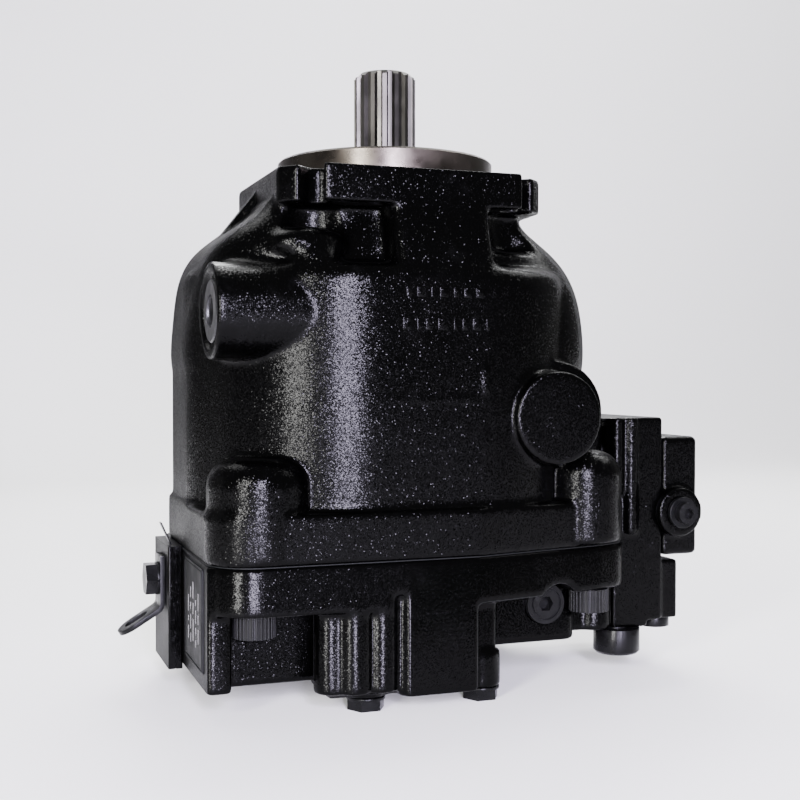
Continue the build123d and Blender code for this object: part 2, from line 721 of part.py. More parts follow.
with BuildPart() as port_cover:
    block(-129, -121, 1.5, 52, -279, -209.5, 1)
    block(-125.6, -124.6, 0, 2.3, -280, -209, mode=Mode.SUBTRACT)
    rod(facing_left(-115, *COVER_BOLT), 5.5, 20, mode=Mode.SUBTRACT)
save(port_cover, "port_cover")

with BuildPart() as eye_strap:
    bolt_y, bolt_z = COVER_BOLT
    with BuildSketch(Plane.XZ.offset(-bolt_y - 10)) as side_view:
        with BuildLine():
            Polyline(
                (-129, bolt_z + 14),
                (-129, -246),
                (-154, -261.5),
                (-155.6, -259),
                (-132, -244.4),
                (-132, bolt_z + 14),
                close=True,
            )
        make_face()
    extrude(side_view.sketch, amount=20)
    fillet(eye_strap.edges().filter_by(Axis.Y).sort_by(Axis.X)[2:4], 1.4)
    rod(facing_left(-120, *COVER_BOLT), 5.3, 20, mode=Mode.SUBTRACT)
    slope = degrees(atan2(-15.5, -25))
    leg = Plane(
        origin=(-144.5, bolt_y, -253.5),
        x_dir=(cos(radians(slope)), 0, sin(radians(slope))),
        z_dir=(-sin(radians(slope)), 0, cos(radians(slope))),
    )
    with BuildSketch(leg.offset(-8)) as slot:
        SlotOverall(17, 9)
    extrude(slot.sketch, amount=16, mode=Mode.SUBTRACT)
save(eye_strap, "eye_strap")

with BuildPart() as cover_bolt:
    rod(facing_left(-102, *COVER_BOLT), 5, 32)
    rod(facing_left(-132, *COVER_BOLT), 9.5, 1.2)
    hexagon(facing_left(-133, *COVER_BOLT), 17, 6.5)
save(cover_bolt, "cover_bolt")

with BuildPart() as nameplate:
    with BuildSketch(Plane.YZ.offset(-121.8)) as plate:
        with Locations((-37.5, -240.5)):
            RectangleRounded(51, 55, 2)
    extrude(plate.sketch, amount=0.8)
save(nameplate, "nameplate")

# ---- Control ---------------------------------------------------------------
left, right, front, back = CONTROL
with BuildPart() as control_block:
    block(left, right, front, back, LEDGE_Z, CONTROL_TOP, 2)
    block(131, right, front, back, -262, LEDGE_Z + 4, 2)
    block(131, 156, front, back, -266, -250, 2)
    block(150, 178, front + 2, back, -262, -226, 2)
    for x, radius, low in ((133.5, 4, LEDGE_Z), (143, 4.5, -208)):
        rod(facing_up(x, front, low), radius, CONTROL_TOP - low)
    for y, z in CONTROL_SCREWS:
        rod(facing_left(right + 1, y, z), 4.3, 40, mode=Mode.SUBTRACT)
    for y in (-12, 8):
        rod(facing_left(right + 1, y, -170), 3, 40, mode=Mode.SUBTRACT)
    rod(facing_up(BASE_PLUG[0], BASE_PLUG[1], -267), 6, 17, mode=Mode.SUBTRACT)
    rod(facing_up(168, -28, -263), 6, 14, mode=Mode.SUBTRACT)
save(control_block, "control_block")

with BuildPart() as control_cover:
    block(right, 190, front, 32, -223, -150, 2)
    fillet(control_cover.edges().filter_by(Axis.Y).sort_by(Axis.X)[-2:], 3)
    rod(facing_front(SPOOL_X, front, SPOOL_Z), 15, 6)
    rod(facing_front(SPOOL_X, 34, SPOOL_Z), 7, 62, mode=Mode.SUBTRACT)
    rod(facing_front(SPOOL_X, -20, SPOOL_Z), 5, 40, mode=Mode.SUBTRACT)
    for y, z in CONTROL_SCREWS:
        rod(facing_left(191, y, z), 4.3, 30, mode=Mode.SUBTRACT)
        rod(facing_left(191, y, z), 7, 8, mode=Mode.SUBTRACT)
    for y in (-12, 8):
        rod(facing_left(180, y, -170), 3, 20, mode=Mode.SUBTRACT)
        rod(facing_up(SPOOL_X, y, SPOOL_Z), 3, 29, mode=Mode.SUBTRACT)
save(control_cover, "control_cover")

with BuildPart() as control_screws:
    for y, z in CONTROL_SCREWS:
        rod(facing_left(189, y, z), 6.5, 6)
        rod(facing_left(184, y, z), 4, 71)
        hexagon(facing_left(190, y, z), 6, 5, mode=Mode.SUBTRACT)
save(control_screws, "control_screws")

with BuildPart() as spool:
    rod(facing_front(SPOOL_X, 20, SPOOL_Z), 4.5, 30)
    for y in (-4, 6, 20):
        rod(facing_front(SPOOL_X, y, SPOOL_Z), 7 - FILM, 6)
save(spool, "control_spool")

with BuildPart() as spool_spring:
    spring(4.8, 0.8, 2.6, 8.8, (SPOOL_X, -22.5, SPOOL_Z), (0, 1, 0))
save(spool_spring, "spool_spring")

with BuildPart() as spring_seat:
    rod(facing_front(SPOOL_X, -24.5, SPOOL_Z), 6.9, 2.6)
save(spring_seat, "spring_seat")

with BuildPart() as adjuster:
    rod(facing_front(SPOOL_X, -28.2, SPOOL_Z), 5 - FILM, 24)
    rod(facing_front(SPOOL_X, -51.6, SPOOL_Z), 6.5, 5)
    hexagon(facing_front(SPOOL_X, -53, SPOOL_Z), 6, 6, mode=Mode.SUBTRACT)
save(adjuster, "adjuster_screw")

with BuildPart() as lock_nut:
    tube(facing_front(SPOOL_X, -48, SPOOL_Z), 9.5, 5 + FILM / 2, 3)
save(lock_nut, "adjuster_nut")

with BuildPart() as spool_plug:
    rod(facing_front(SPOOL_X, 32, SPOOL_Z), 7, 8)
    hexagon(facing_front(SPOOL_X, 38, SPOOL_Z), 15, 6)
save(spool_plug, "spool_plug")

with BuildPart() as base_plug:
    rod(facing_up(*BASE_PLUG, -281), 14, 15)
    chamfer(base_plug.edges().group_by(Axis.Z)[0], 1.5)
    rod(facing_up(*BASE_PLUG, -267), 6, 15)
    hexagon(facing_up(*BASE_PLUG, -282), 12, 8, mode=Mode.SUBTRACT)
save(base_plug, "control_base_plug")

with BuildPart() as side_plug:
    rod(facing_up(168, -28, -268), 9.5, 6)
    rod(facing_up(168, -28, -263), 6, 12)
save(side_plug, "control_side_plug")
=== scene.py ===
import json
import math

import bmesh
import bpy
import numpy as np
from mathutils import Matrix, Vector


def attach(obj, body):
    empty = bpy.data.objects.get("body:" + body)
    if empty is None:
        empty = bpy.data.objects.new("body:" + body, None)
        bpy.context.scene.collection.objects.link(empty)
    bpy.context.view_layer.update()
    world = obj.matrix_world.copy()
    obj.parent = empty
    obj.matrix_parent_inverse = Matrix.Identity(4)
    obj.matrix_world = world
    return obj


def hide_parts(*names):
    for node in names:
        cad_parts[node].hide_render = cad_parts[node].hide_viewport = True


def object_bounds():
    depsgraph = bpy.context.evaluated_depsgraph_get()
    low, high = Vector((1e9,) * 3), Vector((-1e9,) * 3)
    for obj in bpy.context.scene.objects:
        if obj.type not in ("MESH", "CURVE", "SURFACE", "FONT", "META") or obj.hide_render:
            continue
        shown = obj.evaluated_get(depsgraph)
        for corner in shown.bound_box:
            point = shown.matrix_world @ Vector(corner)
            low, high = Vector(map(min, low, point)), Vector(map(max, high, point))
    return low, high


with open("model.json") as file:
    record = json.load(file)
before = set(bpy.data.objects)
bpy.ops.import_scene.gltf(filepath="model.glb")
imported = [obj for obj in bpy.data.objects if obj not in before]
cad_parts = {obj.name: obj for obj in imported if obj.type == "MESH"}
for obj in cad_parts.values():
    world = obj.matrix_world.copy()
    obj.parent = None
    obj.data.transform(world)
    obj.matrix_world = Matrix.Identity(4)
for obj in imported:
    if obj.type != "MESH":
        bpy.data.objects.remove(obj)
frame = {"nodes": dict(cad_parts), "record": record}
CAD_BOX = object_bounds()
NODES = frame["nodes"]
MM = 0.001
UP, BACK = (0, 0, 1), (0, 1, 0)
LEFT, RIGHT, FRONT = (-1, 0, 0), (1, 0, 0), (0, -1, 0)

BODIES = frame["record"]["behaviour"]["bodies"]
BODY_OF = {node: body for body, names in BODIES.items() for node in names}
SLOT_OF = {part["node"]: part["material_slot"] for part in frame["record"]["subparts"]}


# ---- Materials ---------------------------------------------------------------
class Shader:
    """A Principled material whose look is worked out from the object's own coordinates."""

    def __init__(self, name, colour, roughness, metallic=0.0):
        self.material = bpy.data.materials.new(name)
        self.material.use_nodes = True
        self.tree = self.material.node_tree
        self.bsdf = self.tree.nodes["Principled BSDF"]
        self.bsdf.inputs["Base Color"].default_value = (*colour, 1)
        self.bsdf.inputs["Roughness"].default_value = roughness
        self.bsdf.inputs["Metallic"].default_value = metallic
        self.place = self.node("ShaderNodeTexCoord").outputs["Object"]
        self.normal = None

    def node(self, kind, **settings):
        made = self.tree.nodes.new(kind)
        for key, value in settings.items():
            setattr(made, key, value)
        return made

    def link(self, output, socket):
        self.tree.links.new(output, socket)

    def math(self, operation, a, b=0.0, c=0.0, clamp=False):
        made = self.node("ShaderNodeMath", operation=operation, use_clamp=clamp)
        for socket, value in zip(made.inputs, (a, b, c)):
            if isinstance(value, (int, float)):
                socket.default_value = value
            else:
                self.link(value, socket)
        return made.outputs[0]

    def stretched(self, scale):
        """The object's coordinates, scaled along each axis."""
        made = self.node("ShaderNodeMapping")
        made.inputs["Scale"].default_value = scale
        self.link(self.place, made.inputs["Vector"])
        return made.outputs["Vector"]

    def axis(self, name):
        """One coordinate of the surface point, in metres."""
        made = self.node("ShaderNodeSeparateXYZ")
        self.link(self.place, made.inputs[0])
        return made.outputs[name]

    def between(self, value, low, high, soft):
        """1 where low < value < high, with a soft edge."""
        rise = self.ramp(value, low - soft, low)
        fall = self.ramp(value, high, high + soft, 1, 0)
        return self.math("MULTIPLY", rise, fall)

    def noise(self, scale, detail=3.0, rough=0.55, where=None):
        made = self.node("ShaderNodeTexNoise")
        made.inputs["Scale"].default_value = scale
        made.inputs["Detail"].default_value = detail
        made.inputs["Roughness"].default_value = rough
        self.link(where or self.place, made.inputs["Vector"])
        return made.outputs["Fac"]

    def ramp(self, value, low, high, out_low=0.0, out_high=1.0):
        """value from low..high, as out_low..out_high, smoothly."""
        made = self.node("ShaderNodeMapRange", interpolation_type="SMOOTHSTEP")
        made.inputs["From Min"].default_value = low
        made.inputs["From Max"].default_value = high
        made.inputs["To Min"].default_value = out_low
        made.inputs["To Max"].default_value = out_high
        self.link(value, made.inputs["Value"])
        return made.outputs["Result"]

    def roughness(self, value):
        self.link(value, self.bsdf.inputs["Roughness"])

    def tint(self, value, dark, light):
        """Base colour from dark to light by value."""
        made = self.node("ShaderNodeMix", data_type="RGBA")
        self.link(value, made.inputs["Factor"])
        made.inputs[6].default_value = (*dark, 1)
        made.inputs[7].default_value = (*light, 1)
        self.link(made.outputs[2], self.bsdf.inputs["Base Color"])

    def relief(self, height, distance, strength=1.0):
        """Adds a bump of that depth in metres, on top of any earlier one."""
        made = self.node("ShaderNodeBump")
        made.inputs["Distance"].default_value = distance
        made.inputs["Strength"].default_value = strength
        self.link(height, made.inputs["Height"])
        if self.normal:
            self.link(self.normal, made.inputs["Normal"])
        self.normal = made.outputs["Normal"]
        self.link(self.normal, self.bsdf.inputs["Normal"])

    def facets(self, scale, amount, calm=None, draft=0.0):
        """Tips the surface at random in each small grain, by amount, and in a few grains by far more.
        Where calm is 1 it tips far less. A draft tips all of it upwards, as on a moulded wall."""
        most, calming = 3.6, 0.6
        grain = self.node("ShaderNodeTexVoronoi")
        grain.inputs["Scale"].default_value = scale
        self.link(self.place, grain.inputs["Vector"])
        chance = self.node("ShaderNodeTexWhiteNoise")
        self.link(grain.outputs["Color"], chance.inputs["Vector"])
        rare = self.math("POWER", chance.outputs["Value"], 5.0)
        reach = self.math("MULTIPLY_ADD", rare, most * amount, amount)
        if calm:
            reach = self.math("MULTIPLY", reach, self.math("MULTIPLY_ADD", calm, -calming, 1.0))
        spread = self.node("ShaderNodeCombineXYZ")
        for socket in spread.inputs:
            self.link(reach, socket)
        centred = self.node("ShaderNodeVectorMath", operation="SUBTRACT")
        self.link(grain.outputs["Color"], centred.inputs[0])
        centred.inputs[1].default_value = (0.5, 0.5, 0.5)
        leaning = self.node("ShaderNodeVectorMath", operation="ADD")
        self.link(self.node("ShaderNodeNewGeometry").outputs["Normal"], leaning.inputs[0])
        leaning.inputs[1].default_value = (0, 0, draft)
        tipped = self.node("ShaderNodeVectorMath", operation="MULTIPLY_ADD")
        self.link(centred.outputs[0], tipped.inputs[0])
        self.link(spread.outputs[0], tipped.inputs[1])
        self.link(leaning.outputs[0], tipped.inputs[2])
        unit = self.node("ShaderNodeVectorMath", operation="NORMALIZE")
        self.link(tipped.outputs[0], unit.inputs[0])
        self.normal = unit.outputs[0]
        self.link(self.normal, self.bsdf.inputs["Normal"])


def cast_paint(name, grain=1.0, scratched=False, draft=0.0):
    """Gloss black paint over rough cast iron: orange peel, glinting grains, a few worn edges.
    Scratched is for the end cap, whose front is milled flat and scratched at one place."""
    paint = Shader(name, (0.0015, 0.0015, 0.0016), 0.12)
    milled = None
    if scratched:
        wide = paint.between(paint.axis("X"), -0.015, 0.06, 0.003)
        milled = paint.math("MULTIPLY", wide, paint.ramp(paint.axis("Y"), -0.08, -0.076, 1, 0))
    paint.facets(2300, 0.15 * grain, milled, draft)
    paint.bsdf.inputs["Specular IOR Level"].default_value = 0.06
    paint.relief(paint.noise(750, 2), 0.0001 * grain, 0.6)
    paint.relief(paint.noise(120, 3), 0.0005 * grain, 0.16)
    patches = paint.ramp(paint.noise(22, 4), 0.3, 0.7, 0.11, 0.19)
    grazing = paint.ramp(paint.node("ShaderNodeLayerWeight").outputs["Facing"], 0.6, 0.92, 0, 0.36)
    paint.roughness(paint.math("ADD", patches, grazing))
    edges = paint.ramp(paint.node("ShaderNodeNewGeometry").outputs["Pointiness"], 0.53, 0.62)
    worn = paint.math("MULTIPLY", edges, paint.ramp(paint.noise(260, 4), 0.5, 0.68))
    dust = paint.math("MULTIPLY", paint.ramp(paint.noise(60, 5, 0.7), 0.55, 0.8), 0.25)
    paint.tint(paint.math("MAXIMUM", worn, dust), (0.0003, 0.0003, 0.0003), (0.004, 0.004, 0.0042))
    if scratched:
        lines = paint.ramp(paint.noise(1, 2, 0.5, paint.stretched((46, 1, 1500))), 0.66, 0.72)
        across = paint.between(paint.axis("X"), -0.019, 0.002, 0.008)
        upwards = paint.between(paint.axis("Z"), -0.264, -0.242, 0.004)
        here = paint.math("MULTIPLY", across, upwards)
        paint.relief(paint.math("MULTIPLY", lines, here), -0.0003, 1.0)
    return paint.material


def turned_steel(name, light=(0.62, 0.585, 0.54), rough=0.24, lines=9000):
    """Bare machined steel with turning marks and a faint oil film."""
    steel = Shader(name, light, rough, 1.0)
    marks = steel.noise(1, 2, 0.6, steel.stretched((30, 30, lines)))
    steel.relief(marks, 0.00002, 0.55)
    film = steel.noise(45, 4)
    steel.roughness(steel.ramp(film, 0.35, 0.7, rough - 0.06, rough + 0.14))
    dark = tuple(0.72 * channel for channel in light)
    steel.tint(steel.ramp(steel.noise(28, 5, 0.65), 0.35, 0.65), dark, light)
    return steel.material


def dark_metal(name, colour, rough, metallic=0.85, grain=420):
    """Black oxide, zinc or phosphate on steel: satin, faintly mottled, brighter on the edges."""
    metal = Shader(name, colour, rough, metallic)
    metal.bsdf.inputs["Specular IOR Level"].default_value = 0.12
    metal.relief(metal.noise(grain, 4), 0.00012, 0.5)
    metal.roughness(metal.ramp(metal.noise(90, 4), 0.3, 0.7, rough - 0.08, rough + 0.1))
    edges = metal.node("ShaderNodeNewGeometry").outputs["Pointiness"]
    pale = tuple(min(1.0, 1.7 * channel + 0.003) for channel in colour)
    mottle = metal.math("MULTIPLY", metal.ramp(metal.noise(180, 5, 0.7), 0.45, 0.8), 0.35)
    metal.tint(metal.math("MAXIMUM", metal.ramp(edges, 0.53, 0.66), mottle), colour, pale)
    return metal.material


def soft_sheet(name, colour, rough):
    """Gasket fibre or seal rubber."""
    sheet = Shader(name, colour, rough)
    sheet.bsdf.inputs["Specular IOR Level"].default_value = 0.12
    sheet.relief(sheet.noise(1400, 4), 0.0001, 0.6)
    sheet.tint(sheet.noise(300, 5), colour, tuple(1.8 * channel for channel in colour))
    sheet.roughness(sheet.ramp(sheet.noise(80), 0.3, 0.7, rough - 0.08, rough + 0.08))
    return sheet.material


def plate_film(name):
    """The nameplate: dark anodised aluminium, brushed along its length."""
    plate = Shader(name, (0.005, 0.005, 0.0055), 0.4)
    plate.bsdf.inputs["Specular IOR Level"].default_value = 0.08
    plate.relief(plate.noise(1, 3, 0.6, plate.stretched((1, 60, 5000))), 0.00002, 0.6)
    plate.tint(plate.noise(140, 4), (0.003, 0.003, 0.0033), (0.008, 0.0083, 0.0085))
    plate.roughness(plate.ramp(plate.noise(60), 0.3, 0.7, 0.48, 0.62))
    return plate.material


def pale_ink(name):
    """Pale printing and etched lines."""
    ink = Shader(name, (0.14, 0.14, 0.135), 0.5)
    ink.tint(ink.noise(900, 4), (0.05, 0.05, 0.048), (0.14, 0.14, 0.135))
    ink.relief(ink.noise(2000, 2), 0.00003, 0.4)
    return ink.material


MATERIALS = {
    "cast_black": cast_paint("cast_black"),
    "milled_black": cast_paint("milled_black", grain=0.6, scratched=True, draft=0.11),
    "smooth_black": cast_paint("smooth_black", grain=0.3),
    "black_oxide": dark_metal("black_oxide", (0.0032, 0.0032, 0.0034), 0.3, 0.35),
    "black_zinc": dark_metal("black_zinc", (0.003, 0.0031, 0.0032), 0.32, 0.4),
    "plug_steel": dark_metal("plug_steel", (0.04, 0.04, 0.042), 0.36, 0.9),
    "ground_steel": turned_steel("ground_steel", (0.06, 0.052, 0.044), 0.3),
    "spline_steel": turned_steel("spline_steel", (0.06, 0.057, 0.052), 0.38, 4000),
    "hardened_steel": turned_steel("hardened_steel", (0.42, 0.42, 0.43), 0.26, 6000),
    "spring_steel": dark_metal("spring_steel", (0.09, 0.09, 0.095), 0.38, 0.95),
    "bronze": turned_steel("bronze", (0.58, 0.38, 0.18), 0.32, 5000),
    "gasket": soft_sheet("gasket", (0.0015, 0.0018, 0.0018), 0.6),
    "seal_rubber": soft_sheet("seal_rubber", (0.012, 0.012, 0.013), 0.55),
    "nameplate": plate_film("nameplate"),
    "pale_ink": pale_ink("pale_ink"),
}


# ---- Making pieces -----------------------------------------------------------
def finish_piece(obj, node, material, sharp=35):
    """Gives a new piece its material, and the node's body. Edges over that angle stay sharp."""
    obj.data.materials.clear()
    obj.data.materials.append(MATERIALS[material])
    obj.data.shade_smooth()
    if sharp:
        obj.data.set_sharp_from_angle(angle=math.radians(sharp))
    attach(obj, BODY_OF[node])
    return obj


def new_object(name, data):
    """An object in the scene, of a mesh, a camera or a light."""
    obj = bpy.data.objects.new(name, data)
    bpy.context.scene.collection.objects.link(obj)
    return obj


def mesh_of(name, vertices, faces):
    mesh = bpy.data.meshes.new(name)
    mesh.from_pydata(vertices, [], faces)
    mesh.validate()
    return mesh


def mesh_from(name, shape):
    """A mesh of a finished bmesh, which is freed."""
    mesh = bpy.data.meshes.new(name)
    shape.to_mesh(mesh)
    shape.free()
    return mesh


def baked(obj):
    """Replaces the object's mesh by what its modifiers make of it."""
    graph = bpy.context.evaluated_depsgraph_get()
    mesh = bpy.data.meshes.new_from_object(obj.evaluated_get(graph))
    obj.modifiers.clear()
    obj.data = mesh
    return obj


def turned_piece(name, rows, node, material, segments):
    """A piece turned about the shaft's axis, which stands for the node: rows are (height, radius), in mm."""
    angles = [2 * math.pi * step / segments for step in range(segments)]
    vertices = [(radius * MM * math.cos(angle), radius * MM * math.sin(angle), height * MM)
                for height, radius in rows for angle in angles]
    faces = []
    for row in range(len(rows) - 1):
        low, high = row * segments, (row + 1) * segments
        for step in range(segments):
            after = (step + 1) % segments
            faces.append((low + step, low + after, high + after, high + step))
    obj = finish_piece(new_object(name, mesh_of(name, vertices, faces)), node, material)
    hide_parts(node)


WELD_GAP = 0.01 * MM
MELT_EDGE = 6.0  # mm over which the melting of a box fades in
MELT_ROUNDS = 6  # times more smoothing inside a melted box


def smoothed(obj, weight, rounds, held=None):
    """Adds a smoothing of that many rounds, by each vertex's weight, but not along the held axis."""
    group = obj.vertex_groups.new(name="soft")
    for level in range(1, 11):
        chosen = np.nonzero(np.round(weight * 10) == level)[0]
        group.add(chosen.tolist(), level / 10, "REPLACE")
    smooth = obj.modifiers.new("smooth", "SMOOTH")
    smooth.factor = 0.5
    smooth.iterations = rounds
    smooth.vertex_group = group.name
    if held is not None:
        setattr(smooth, "use_" + "xyz"[held], False)


def casting(name, node, voxel, rounds, kept, material="cast_black", melted=(), swollen=()):
    """The node's shape with the soft corners of a sand casting.
    kept are (axis, value) planes, in mm, which were machined and stay sharp;
    melted are boxes, in mm, inside which the corners are far rounder;
    swollen are ellipsoids, (centre, radii) in mm, that grow out of the wall."""
    obj = new_object(name, NODES[node].data.copy())
    obj.modifiers.new("weld", "WELD").merge_threshold = WELD_GAP
    baked(obj)
    shape = bmesh.new()
    shape.from_mesh(obj.data)
    for centre, radii in swollen:
        size = Matrix.Diagonal((*[radius * MM for radius in radii], 1))
        place = Matrix.Translation(Vector(centre) * MM) @ size
        bmesh.ops.create_icosphere(shape, subdivisions=4, radius=1, matrix=place)
    shape.to_mesh(obj.data)
    shape.free()
    remesh = obj.modifiers.new("remesh", "REMESH")
    remesh.mode = "VOXEL"
    remesh.voxel_size = voxel * MM
    baked(obj)
    points = np.empty(len(obj.data.vertices) * 3)
    obj.data.vertices.foreach_get("co", points)
    points = points.reshape(-1, 3) / MM
    # A weight of 0 within 0.8 mm of a kept plane, rising to 1 at 2 mm
    away = [np.clip((np.abs(points[:, axis] - value) - 0.8) / 1.2, 0, 1) for axis, value in kept]
    weight = np.minimum.reduce(away)
    smoothed(obj, weight, rounds)
    for (axis, _), clear in zip(kept, away):
        smoothed(obj, 1 - clear, rounds, held=axis)
    for low, high in melted:
        inside = np.minimum(points - np.array(low), np.array(high) - points).min(axis=1)
        smoothed(obj, weight * np.clip(inside / MELT_EDGE, 0, 1), rounds * MELT_ROUNDS)
    baked(obj)
    finish_piece(obj, node, material, sharp=None)
    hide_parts(node)
    return obj


# ---- Castings ----------------------------------------------------------------
VOXEL = 1.1
SOFT = 20
X, Y, Z = range(3)
FLANGE_FACE, JOINT, GASKET_T = 0.0, -210.0, 0.5

UNDER_EARS = [((-112, -92, -66), (-18, -38, -19)), ((34, -92, -66), (112, -38, -19))]
# The wall swells in two steps under the left front ear
SWELLS = [((-63, -57, -42), (22, 13, 10)), ((-60, -62, -50), (13, 12, 8))]
housing = casting("housing_casting", "housing", VOXEL, SOFT, [(Z, FLANGE_FACE), (Z, JOINT)],
                  melted=UNDER_EARS, swollen=SWELLS)

# The casting ends just above the flange's face, and the pilot on it is turned bare steel: a foot under
# the face, side, chamfer, top, and the bore that holds the seal.
PILOT, SEAL_BORE, PILOT_TOP, CUT = 63.5, 34.4, 12.7, 0.3
FOOT_TOP, FOOT_BASE = -0.12, -2.0
shape = bmesh.new()
shape.from_mesh(housing.data)
everything = shape.verts[:] + shape.edges[:] + shape.faces[:]
bmesh.ops.bisect_plane(shape, geom=everything, plane_co=(0, 0, CUT * MM), plane_no=UP, clear_outer=True)
shape.to_mesh(housing.data)
shape.free()
PILOT_ROWS = [(FOOT_BASE, PILOT - 6), (FOOT_BASE, PILOT + 5), (FOOT_TOP, PILOT + 5), (FOOT_TOP, PILOT),
              (PILOT_TOP - 1.2, PILOT), (PILOT_TOP, PILOT - 1.2), (PILOT_TOP, SEAL_BORE + 0.8),
              (PILOT_TOP - 0.7, SEAL_BORE), (3.0, SEAL_BORE), (FOOT_BASE, PILOT - 6)]
turned_piece("pilot_ring", PILOT_ROWS, "housing", "ground_steel", 192)

NAMEPLATE_SEAT, PORT_FACE = -121.0, 88.0
casting("end_cap_casting", "end_cap", VOXEL, SOFT,
        [(Z, JOINT - GASKET_T), (X, NAMEPLATE_SEAT), (Y, PORT_FACE)], "milled_black")
CONTROL_TOP, CONTROL_SIDE, COVER_TOP, COVER_SIDE = -138.0, 166.0, -150.0, 190.0
casting("control_casting", "control_block", VOXEL, SOFT // 2, [(Z, CONTROL_TOP), (X, CONTROL_SIDE)])
casting("control_cover_casting", "control_cover", VOXEL, SOFT // 3, [(Z, COVER_TOP), (X, COVER_SIDE)])

# ---- Small pieces ------------------------------------------------------------
def rounded_bars(name, bars, thick, along, across, out, node, material):
    """Raised marks on a plane, with rounded edges: bars are (centre, length along, width across), in mm."""
    shape = bmesh.new()
    basis = Matrix((Vector(along), Vector(across), Vector(out))).transposed().to_4x4()
    for centre, length, width in bars:
        size = Matrix.Diagonal((length * MM, width * MM, thick * MM, 1))
        place = Matrix.Translation(Vector(centre) * MM) @ basis @ size
        made = bmesh.ops.create_cube(shape, size=1, matrix=place)
        edges = list({edge for vertex in made["verts"] for edge in vertex.link_edges})
        round_off = min(thick, width) * 0.35 * MM
        bmesh.ops.bevel(shape, geom=edges, offset=round_off, segments=2, affect="EDGES", profile=0.5)
    return finish_piece(new_object(name, mesh_from(name, shape)), node, material)


# Cast marks on the front face: two rows of plain raised dashes
MARK_Y, MARK_GAP = -84.25, 3
MARK_ROWS = ((-17, -68, 5.5, (3, 5, 2, 5, 3, 4, 5)), (-19, -85, 6.5, (5, 2, 4, 6, 2, 3, 5, 2)))
marks = []
for x, z, height, widths in MARK_ROWS:
    for width in widths:
        marks.append(((x + width / 2, MARK_Y, z), width, height))
        x += width + MARK_GAP
rounded_bars("cast_marks", marks, 1.1, RIGHT, UP, FRONT, "housing", "cast_black")

# Nameplate: a raised rim, and rows of generic bars that stand for the printing
PLATE_X, PLATE_Y, PLATE_Z = -122.1, -37.5, -240.5
RIM_HALF, RIM_TALL, RIM_W = 24, 26, 0.6
rim = [((PLATE_X, PLATE_Y, PLATE_Z + side * RIM_TALL), 2 * RIM_HALF, RIM_W) for side in (1, -1)]
rim += [((PLATE_X, PLATE_Y + side * RIM_HALF, PLATE_Z), RIM_W, 2 * RIM_TALL - 0.5) for side in (1, -1)]
rounded_bars("nameplate_rim", rim, 0.4, BACK, UP, LEFT, "nameplate", "nameplate")
PRINT_GAP = 2.4
PRINT_ROWS = ((-24, -256, (7, 3, 9), 0.7), (-31, -257, (5, 8, 4, 6), 0.6), (-38, -255, (12, 6, 9), 1.5),
              (-46, -257, (4, 4, 7, 3), 0.6), (-53, -254, (8, 5, 9), 0.7))
bars = []
for y, z, steps, width in PRINT_ROWS:
    for step in steps:
        bars.append(((PLATE_X, y, z + step / 2), width, step))
        z += step + PRINT_GAP
rounded_bars("nameplate_print", bars, 0.3, BACK, UP, LEFT, "nameplate", "pale_ink")

# A thin sheet tab stands up above the cover plate, leaning outwards
TAB = [((-129.3, 9, -202.5), 14, 6)]
TAB_ALONG, TAB_OUT = (-0.41, 0, 0.912), (-0.912, 0, -0.41)
rounded_bars("cover_tab", TAB, 0.9, TAB_ALONG, BACK, TAB_OUT, "port_cover", "black_oxide")


def bent_strap(name, path, centre_y, width, thick, slot_at, slot_size, node):
    """A flat bar with a round end and a slot, bent along a path of (x, z) points at that y, in mm.
    It stands for the node."""
    lengths = [0.0]
    for a, b in zip(path, path[1:]):
        lengths.append(lengths[-1] + math.dist(a, b))
    total, half = lengths[-1], width / 2
    turns = np.linspace(0.15, math.pi - 0.15, 14)
    outline = [(0.0, -half), (total - half, -half)]
    outline += [(total - half + half * math.sin(t), -half * math.cos(t)) for t in turns]
    outline += [(total - half, half), (0.0, half)]
    long, tall = slot_size[0] / 2 - slot_size[1] / 2, slot_size[1] / 2
    turns = np.linspace(0, math.pi, 10)
    hole = [(slot_at + long + tall * math.sin(t), -tall * math.cos(t)) for t in turns]
    hole += [(slot_at - long - tall * math.sin(t), tall * math.cos(t)) for t in turns]
    shape = bmesh.new()
    for ring in (outline, hole):
        corners = [shape.verts.new((u, v, 0)) for u, v in ring]
        for a, b in zip(corners, corners[1:] + corners[:1]):
            shape.edges.new((a, b))
    bmesh.ops.triangle_fill(shape, edges=shape.edges[:], use_beauty=True)
    for cut in np.arange(1.0, total - 1, 1.5):
        everything = shape.verts[:] + shape.edges[:] + shape.faces[:]
        bmesh.ops.bisect_plane(shape, geom=everything, plane_co=(cut, 0, 0), plane_no=RIGHT)
    for vertex in shape.verts:
        u, v = vertex.co.x, vertex.co.y
        x = np.interp(u, lengths, [point[0] for point in path])
        z = np.interp(u, lengths, [point[1] for point in path])
        vertex.co = Vector((x, centre_y + v, z)) * MM
    bmesh.ops.recalc_face_normals(shape, faces=shape.faces[:])
    obj = new_object(name, mesh_from(name, shape))
    solid = obj.modifiers.new("solid", "SOLIDIFY")
    solid.thickness = thick * MM
    solid.offset = 0
    soft = obj.modifiers.new("soft", "BEVEL")
    soft.width = 0.6 * MM
    soft.segments = 3
    soft.limit_method = "ANGLE"
    soft.angle_limit = math.radians(50)
    baked(obj)
    finish_piece(obj, node, "black_zinc", 40)
    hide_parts(node)


